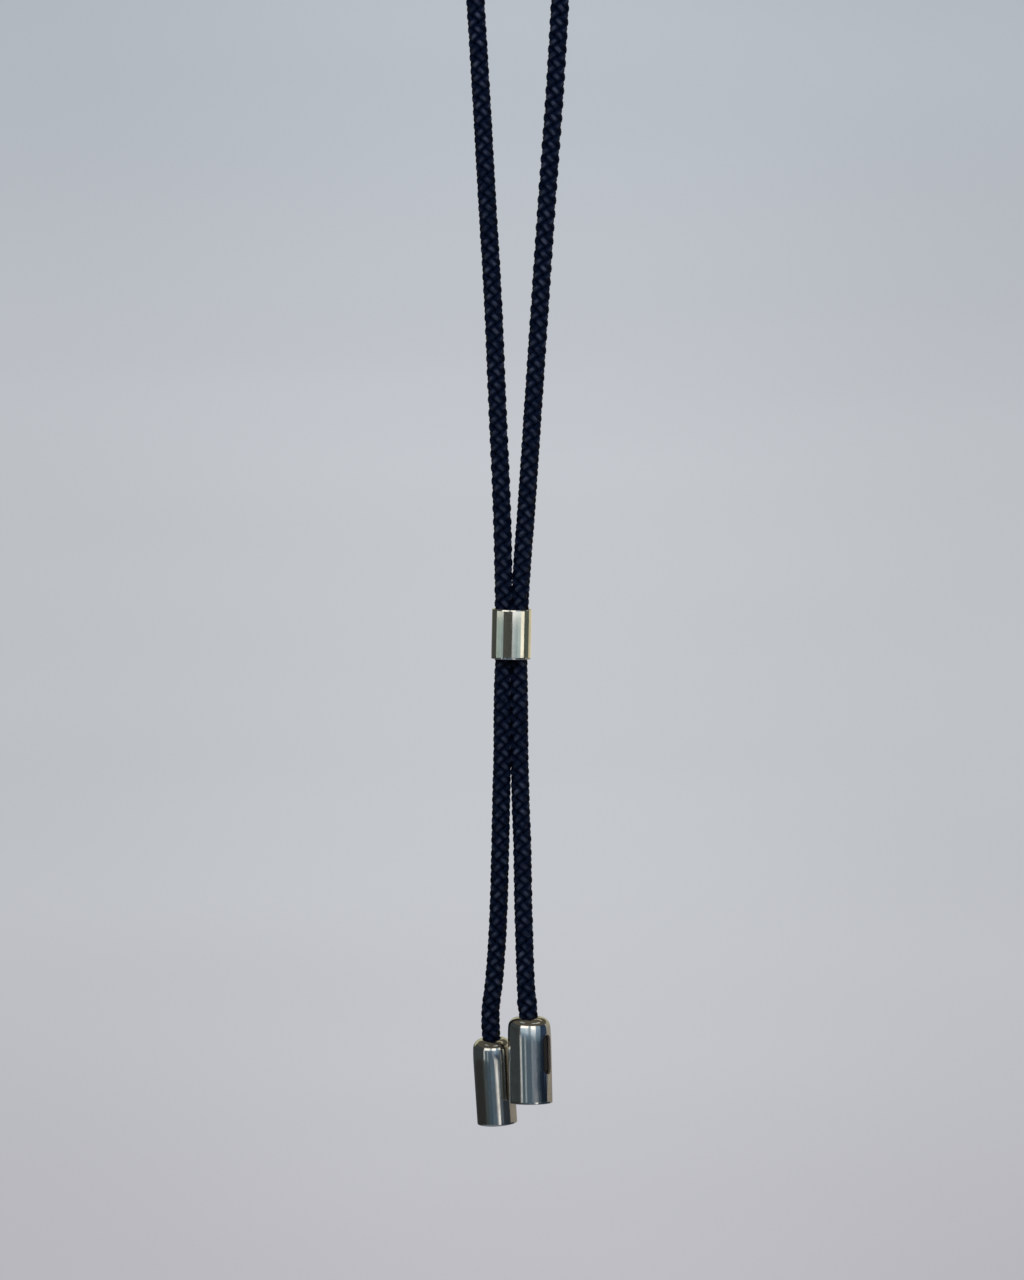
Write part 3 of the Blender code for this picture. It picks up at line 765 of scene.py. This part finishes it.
class STRAP_OT_stage(bpy.types.Operator):
    """Set up the camera, the pale backdrop and floor, the soft lights and the mirrored cards"""
    bl_idname = "strap.stage"
    bl_label = "Stage"

    def execute(self, context):
        self.camera(context.scene)
        self.backdrop(context.scene.strap_finish)
        add_softbox("key_light", -12.0, 42.0, 0.8, (0.5, 0.28), 5.0, "FFFDF8")
        add_softbox("fill_light", 35.0, 30.0, 0.9, (0.4, 0.3), 2.5, "F2F5FF")
        add_softbox("back_light", 170.0, 35.0, 1.0, (0.5, 0.5), 2.0, "F4F6FF")
        for row, (distance, heights, cards) in CARD_ROWS.items():
            ends = [card[0] for card in cards[1:]] + [180]
            for number, ((start, code, *gain), end) in enumerate(zip(cards, ends)):
                add_card(f"{row}_card_{number}", (start, end), heights, code,
                         gain[0] if gain else 1.0, distance)
        for name, span, heights, code in GLINTS:
            add_card(name, span, heights, code, 1.0, GLINT_DISTANCE)
        self.ceiling()
        world = bpy.data.worlds.new("room")
        world.use_nodes = True
        ground = world.node_tree.nodes["Background"]
        ground.inputs["Color"].default_value = rgba(linear("B9C0CE"))
        ground.inputs["Strength"].default_value = 0.55
        context.scene.world = world
        context.scene.view_settings.view_transform = "Standard"
        context.scene.view_settings.look = "None"
        return {"FINISHED"}

    def camera(self, scene):
        """A long-lens camera before the strap, a little above it, aimed just below the slider."""
        camera = add_object("camera", bpy.data.cameras.new("camera"))
        way = around(0.0, CAMERA_ELEVATION)
        camera.location = SLIDER_AT + Vector((0.0001, 0.0, -0.0011)) + way * CAMERA_DISTANCE
        camera.rotation_euler = way.to_track_quat("Z", "Y").to_euler()
        camera.data.sensor_width = 36.0
        camera.data.lens = camera.data.sensor_width / 2 * CAMERA_DISTANCE / VIEW_HALF_HEIGHT
        camera.data.clip_start = 0.01
        scene.camera = camera

    def ceiling(self):
        """A dim lid over the far cards, which the shoulders' upper edges mirror."""
        shape = bmesh.new()
        bmesh.ops.create_circle(shape, cap_ends=True, radius=FAR, segments=48,
                                matrix=Matrix.Translation((0.0, 0.0, LID)))
        hang_card("ceiling_card", shape, CEILING, 1.0)

    def backdrop(self, finish):
        """A round pale room: floor, swept corner and wall in one sheet, glowing with painted light instead
        of being lit.
        """
        points = [(0.0, 0.0, -1.0), (2.0, 0.0, -1.0), (2.6, 0.0, -0.4), (2.6, 0.0, 3.0)]
        shape = spin_line(points, False, math.tau, 64, True)
        bmesh.ops.remove_doubles(shape, verts=shape.verts[:], dist=1e-5)
        room = add_mesh("backdrop", shape, self.wall_paint(finish))
        room.data.shade_smooth()
        room.visible_diffuse = False
        room.visible_glossy = False
        room.visible_shadow = False

    def wall_paint(self, finish):
        """Pale plaster far out of focus, glowing with painted light: nearly even, with painted shading
        through three greys as it rises, broad soft bands across it and a little less painted light at its
        sides."""
        material, tree = empty_material("Backdrop")
        place = node(tree, "ShaderNodeTexCoord")
        spot = node(tree, "ShaderNodeSeparateXYZ", {"Vector": place.outputs["Object"]})
        stretched = node(tree, "ShaderNodeMapping", {
            "Vector": place.outputs["Object"], "Scale": (1.1, 1.1, 7.0)})
        bands = node(tree, "ShaderNodeTexNoise", {
            "Vector": stretched.outputs["Vector"], "Scale": 1.0, "Detail": 2.0})
        streaks = node(tree, "ShaderNodeMapRange", {
            "Value": bands.outputs["Fac"], "From Min": 0.3, "From Max": 0.7, "To Min": 0.97,
            "To Max": 1.03})
        sideways = node(tree, "ShaderNodeMath", {0: spot.outputs["X"]}, operation="ABSOLUTE")
        falloff = node(tree, "ShaderNodeMapRange", {
            "Value": sideways.outputs["Value"], "From Min": 0.02, "From Max": 0.34, "To Min": 1.0,
            "To Max": 0.92}, interpolation_type="SMOOTHSTEP")
        strength = node(tree, "ShaderNodeMath", {
            0: streaks.outputs["Result"], 1: falloff.outputs["Result"]}, operation="MULTIPLY")
        low = node(tree, "ShaderNodeMapRange", {
            "Value": spot.outputs["Z"], "From Min": -0.80, "From Max": -0.45},
            interpolation_type="SMOOTHSTEP")
        high = node(tree, "ShaderNodeMapRange", {
            "Value": spot.outputs["Z"], "From Min": -0.35, "From Max": 0.08},
            interpolation_type="SMOOTHSTEP")
        rising = node(tree, "ShaderNodeMix", {
            "Factor": low.outputs["Result"], "A": rgba(linear("BDBCC3")),
            "B": rgba(finish.backdrop)}, data_type="RGBA")
        wall = node(tree, "ShaderNodeMix", {
            "Factor": high.outputs["Result"], "A": rising.outputs["Result"],
            "B": rgba(linear("B8BFC7"))}, data_type="RGBA")
        light = node(tree, "ShaderNodeEmission", {
            "Color": wall.outputs["Result"], "Strength": strength.outputs["Value"]})
        node(tree, "ShaderNodeOutputMaterial", {"Surface": light.outputs["Emission"]})
        return material


# ---- operators for the pieces --------------------------------------------------------------------


class STRAP_OT_cord(bpy.types.Operator):
    """Braid the whole cord, in the five lengths that bend and move on their own"""
    bl_idname = "strap.cord"
    bl_label = "Braided cord"

    def execute(self, context):
        cord = context.scene.strap_cord
        line = CordLine()
        yarn = braided_polyester(cord)
        for side in ("left", "right"):
            self.strand(cord, line, yarn, side)
            self.tail(cord, line, yarn, side)
        begin, end = line.passes(LOOP_CUT, "left"), line.passes(LOOP_CUT, "right")
        loop = braid_piece("cord_top_loop", cord, line, begin, end, (OVERLAP, OVERLAP), yarn)
        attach(loop, "strap")
        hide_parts("cord_loop")
        self.declare(loop, cord, line, begin, end, begin)
        return {"FINISHED"}

    def strand(self, cord, line, yarn, side):
        """The long run from the slider up to the loop."""
        ends = sorted((line.passes(STRAND_CUT, side), line.passes(LOOP_CUT, side)))
        piece = braid_piece(f"{side}_cord_run", cord, line, *ends, (0.0, 0.0), yarn)
        start, end = (SLIDER_AT + Vector(point) for point in RUN_BEND[side])
        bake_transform(piece, f"{side}_run", "strap", start=tuple(start), end=tuple(end))
        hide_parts(f"{side}_upper_strand")
        self.declare(piece, cord, line, *ends, line.passes(STRAND_CUT, side))

    def tail(self, cord, line, yarn, side):
        """The end below the slider, from inside it down into the cap."""
        cut = line.passes(STRAND_CUT, side)
        ends = (0.0, cut) if side == "left" else (cut, line.length)
        reach = (0.0, OVERLAP) if side == "left" else (OVERLAP, 0.0)
        piece = braid_piece(f"{side}_cord_tail", cord, line, *ends, reach, yarn)
        start, end = (line.points[int(line.passes(height, side) / line.STEP)]
                      for height in TAIL_BEND)
        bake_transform(piece, "strap", f"{side}_tail", start=tuple(start), end=tuple(end))
        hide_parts(f"{side}_middle_strand", f"{side}_lower_strand")
        self.declare(piece, cord, line, *ends, cut)

    def declare(self, piece, cord, line, begin, end, leaves):
        """Sample the cord's centreline from begin to end and find where it leaves the slider; nothing
        further is done with them.
        """
        path = line.sample(np.linspace(begin, end, round((end - begin) / 0.002) + 1))[0]
        leaving = line.sample(np.array((leaves,)))[0][0]


class STRAP_OT_slider(bpy.types.Operator):
    """Make the slider's polished tube and finish the grip liner inside it"""
    bl_idname = "strap.slider"
    bl_label = "Slider"

    def execute(self, context):
        size, finish = context.scene.strap_slider, context.scene.strap_finish
        half, outer, inner = size.length / 2, size.radius, size.radius - size.wall
        step = 0.0004
        profile = ((outer, -half), (outer, step - half), (outer, half - step), (outer, half),
                   (inner, half), (inner, half - step), (inner, step - half), (inner, -half))
        shape = turned_shape(profile, 128)
        for radius in (outer, inner):
            for height in (half, -half):
                round_rings(shape, radius, height, size.edge, 3)
        mark_own_place(shape)
        place = Matrix.Translation(SLIDER_AT) @ Matrix.Rotation(SLIDER_TILT, 4, "Y")
        bmesh.ops.transform(shape, matrix=place, verts=shape.verts[:])
        tube = finish_piece("slider_tube", shape, polished_steel(finish))
        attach(tube, "slider")
        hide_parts("slider_sleeve")
        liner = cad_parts["slider_liner"]
        liner.material_slots[0].material = moulded_silicone(finish)
        return {"FINISHED"}


def cap_place(side):
    """Where a cap stands: its top centre, its lean and the turn of its window."""
    place = CAPS[side]
    fore_aft, sideways = place["lean"]
    return (Matrix.Translation(Vector(place["top"]) + SLIDER_AT)
            @ Matrix.Rotation(math.radians(sideways), 4, "Y")
            @ Matrix.Rotation(math.radians(fore_aft), 4, "X")
            @ Matrix.Rotation(math.radians(place["turn"]), 4, "Z"))


def make_oval(shape, size):
    """Narrow a round barrel to its oval, leaving the cord's hole round."""
    narrow = 1.0 - size.half_short / size.half_long
    for vert in shape.verts:
        radius = vert.co.xy.length
        share = min(max((radius - size.hole_radius - 0.0001) / 0.0008, 0.0), 1.0)
        vert.co.y *= 1.0 - narrow * share * share * (3.0 - 2.0 * share)


def slot_bar(length, width, near, far, middle):
    """A bar along X with a round-ended upright outline."""
    shape = bmesh.new()
    ring = bmesh.ops.create_circle(shape, cap_ends=True, radius=width / 2, segments=48,
                                   matrix=Matrix.Rotation(math.pi / 48, 4, "Z"))["verts"]
    for vert in ring:
        vert.co.x += math.copysign((length - width) / 2, vert.co.x)
    stand = Matrix(((0, 0, 1, near), (0, 1, 0, 0), (1, 0, 0, middle), (0, 0, 0, 1)))
    bmesh.ops.transform(shape, matrix=stand, verts=ring)
    grown = bmesh.ops.extrude_face_region(shape, geom=shape.faces[:])["geom"]
    moved = [part for part in grown if isinstance(part, bmesh.types.BMVert)]
    bmesh.ops.translate(shape, verts=moved, vec=(far - near, 0.0, 0.0))
    bmesh.ops.recalc_face_normals(shape, faces=shape.faces[:])
    return shape


class STRAP_OT_caps(bpy.types.Operator):
    """Turn both polished caps, cut their windows and round every edge"""
    bl_idname = "strap.caps"
    bl_label = "Temple-tip caps"

    def execute(self, context):
        size = context.scene.strap_cap
        steel, wall = polished_steel(context.scene.strap_finish), punched_steel()
        for side in CAPS:
            self.cap(side, size, steel, wall)
        return {"FINISHED"}

    def cap(self, side, size, steel, wall):
        outer, inner, bottom = size.half_long, size.half_long - size.wall, -size.length
        under, fillet = -size.top_plate, size.shoulder - size.wall
        hole, lip = size.hole_radius, 0.00012
        # Polishing has drawn the barrel in a little towards its shoulder.
        top = outer - 0.00028
        profile = (
            (outer, bottom), (outer, bottom + 0.0005), (outer, -0.0046), (outer - 0.00001, -0.0037),
            (outer - 0.00003, -0.0029), (outer - 0.00007, -0.0022), (outer - 0.00012, -0.0016),
            (top, 0.0), (hole + 0.0004, 0.0), (hole, 0.0), (hole, under), (hole + 0.0004, under),
            (inner, under), (inner, -0.0018), (inner, bottom + 0.0005), (inner, bottom),
        )
        shape = turned_shape(profile, 128)
        round_rings(shape, top, 0.0, size.shoulder, 14)
        round_rings(shape, inner, under, fillet, 6)
        for radius, height in ((hole, 0.0), (outer, bottom), (inner, bottom)):
            round_rings(shape, radius, height, lip, 3)
        make_oval(shape, size)
        mark_own_place(shape)
        shell = finish_piece(f"{side}_cap", shape, steel)
        middle = -size.window_top - size.window_length / 2
        cutter = finish_piece(
            f"{side}_window", slot_bar(size.window_length, size.window_width, 0.002, 0.006, middle),
            wall)
        cut = shell.modifiers.new("window", "BOOLEAN")
        cut.operation = "DIFFERENCE"
        cut.solver = "EXACT"
        cut.object = cutter
        cut.material_mode = "TRANSFER"
        edge = shell.modifiers.new("window edge", "BEVEL")
        edge.width = 0.00013
        edge.segments = 3
        edge.limit_method = "ANGLE"
        edge.angle_limit = math.radians(50.0)
        graph = bpy.context.evaluated_depsgraph_get()
        mesh = bpy.data.meshes.new_from_object(shell.evaluated_get(graph))
        shell.modifiers.clear()
        shell.data = mesh
        bpy.data.objects.remove(cutter)
        mesh.transform(cap_place(side))
        mesh.set_sharp_from_angle(angle=math.radians(35.0))
        normals = shell.modifiers.new("even shading", "WEIGHTED_NORMAL")
        normals.keep_sharp = True
        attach(shell, f"{side}_cap")
        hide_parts(f"{side}_cap_shell")


class STRAP_OT_crimps(bpy.types.Operator):
    """Finish the crimped rings that hold each cap on its cord end"""
    bl_idname = "strap.crimps"
    bl_label = "Cord crimps"

    def execute(self, context):
        steel = blasted_steel(context.scene.strap_finish)
        for side in CAPS:
            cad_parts[f"{side}_cord_crimp"].material_slots[0].material = steel
        return {"FINISHED"}


class STRAP_OT_grips(bpy.types.Operator):
    """Mould the silicone sleeves that take the temple tips, each with a lug in its cap's window"""
    bl_idname = "strap.grips"
    bl_label = "Temple grips"

    def execute(self, context):
        scene = context.scene
        silicone = moulded_silicone(scene.strap_finish)
        for side in CAPS:
            shape = self.sleeve(scene.strap_cap, scene.strap_grip)
            lug, mesh = self.lug(scene.strap_cap, scene.strap_grip), bpy.data.meshes.new("lug")
            lug.to_mesh(mesh)
            lug.free()
            shape.from_mesh(mesh)
            bpy.data.meshes.remove(mesh)
            bmesh.ops.transform(shape, matrix=cap_place(side), verts=shape.verts[:])
            grip = finish_piece(f"{side}_grip", shape, silicone, 50.0)
            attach(grip, f"{side}_cap")
            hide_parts(f"{side}_temple_grip")
        return {"FINISHED"}

    def sleeve(self, cap, grip):
        """The sleeve: an oval outside, a flat bore inside, and every lip rounded."""
        shape = bmesh.new()
        long = cap.half_long - cap.wall - grip.clearance
        short = (cap.half_long - cap.wall) * cap.half_short / cap.half_long - grip.clearance
        low, high = grip.recess - cap.length, -grip.top
        straight, lead = grip.bore_width / 2 - grip.bore_height / 2, grip.lead_in
        flat = grip.bore_height / 2
        wide = flat + lead * 0.6
        rings = [
            self.ring(shape, long, short, 0.0, low), self.ring(shape, long, short, 0.0, high),
            self.ring(shape, flat, flat, straight, high),
            self.ring(shape, flat, flat, straight, low + lead),
            self.ring(shape, wide, wide, straight, low),
        ]
        for first, second in zip(rings, rings[1:] + rings[:1]):
            bmesh.ops.bridge_loops(shape, edges=first + second)
        bevel_edges(shape, [edge for ring in rings for edge in ring], 0.00014, 4)
        bmesh.ops.recalc_face_normals(shape, faces=shape.faces[:])
        return shape

    def ring(self, shape, long, short, straight, height):
        """A level ring of edges: an oval, or two half circles joined by straights."""
        place = Matrix.Translation((0.0, 0.0, height)) @ Matrix.Diagonal((long, short, 1.0, 1.0))
        ring = bmesh.ops.create_circle(shape, cap_ends=False, radius=1.0, segments=96,
                                       matrix=place @ Matrix.Rotation(math.pi / 96, 4, "Z"))
        for vert in ring["verts"]:
            vert.co.x += math.copysign(straight, vert.co.x)
        return list({edge for vert in ring["verts"] for edge in vert.link_edges})

    def lug(self, cap, grip):
        """The lug that locks the sleeve, domed where it swells through the window."""
        middle = -cap.window_top - cap.window_length / 2
        gap = 2 * grip.lug_gap
        shape = slot_bar(cap.window_length - gap, cap.window_width - gap, 0.0029,
                         cap.half_long - grip.lug_below, middle)
        front = [edge for edge in shape.edges
                 if all(v.co.x > cap.half_long - grip.lug_below - 1e-5 for v in edge.verts)]
        bevel_edges(shape, front, 0.0006, 10)
        bmesh.ops.recalc_face_normals(shape, faces=shape.faces[:])
        return shape


OPERATORS = (
    STRAP_OT_stage, STRAP_OT_cord, STRAP_OT_slider, STRAP_OT_caps, STRAP_OT_crimps,
    STRAP_OT_grips,
)


class STRAP_PT_pieces(bpy.types.Panel):
    """The strap's pieces and their settings"""
    bl_idname = "STRAP_PT_pieces"
    bl_label = "Eyeglass strap"
    bl_space_type = "VIEW_3D"
    bl_region_type = "UI"
    bl_category = "Strap"

    def draw(self, context):
        for operator in OPERATORS:
            self.layout.operator(operator.bl_idname)
        for name, group in SETTINGS.items():
            box = self.layout.box()
            box.label(text=group.__doc__)
            for setting in group.__annotations__:
                box.prop(getattr(context.scene, name), setting)


def register():
    for group in SETTINGS.values():
        bpy.utils.register_class(group)
    for name, group in SETTINGS.items():
        setattr(bpy.types.Scene, name, PointerProperty(type=group))
    for operator in OPERATORS:
        bpy.utils.register_class(operator)
    bpy.utils.register_class(STRAP_PT_pieces)


def unregister():
    bpy.utils.unregister_class(STRAP_PT_pieces)
    for operator in reversed(OPERATORS):
        bpy.utils.unregister_class(operator)
    for name in SETTINGS:
        delattr(bpy.types.Scene, name)
    for group in reversed(SETTINGS.values()):
        bpy.utils.unregister_class(group)


def main():
    register()
    bpy.ops.strap.stage()
    bpy.ops.strap.cord()
    bpy.ops.strap.slider()
    bpy.ops.strap.caps()
    bpy.ops.strap.crimps()
    bpy.ops.strap.grips()


if __name__ == "__main__":
    main()
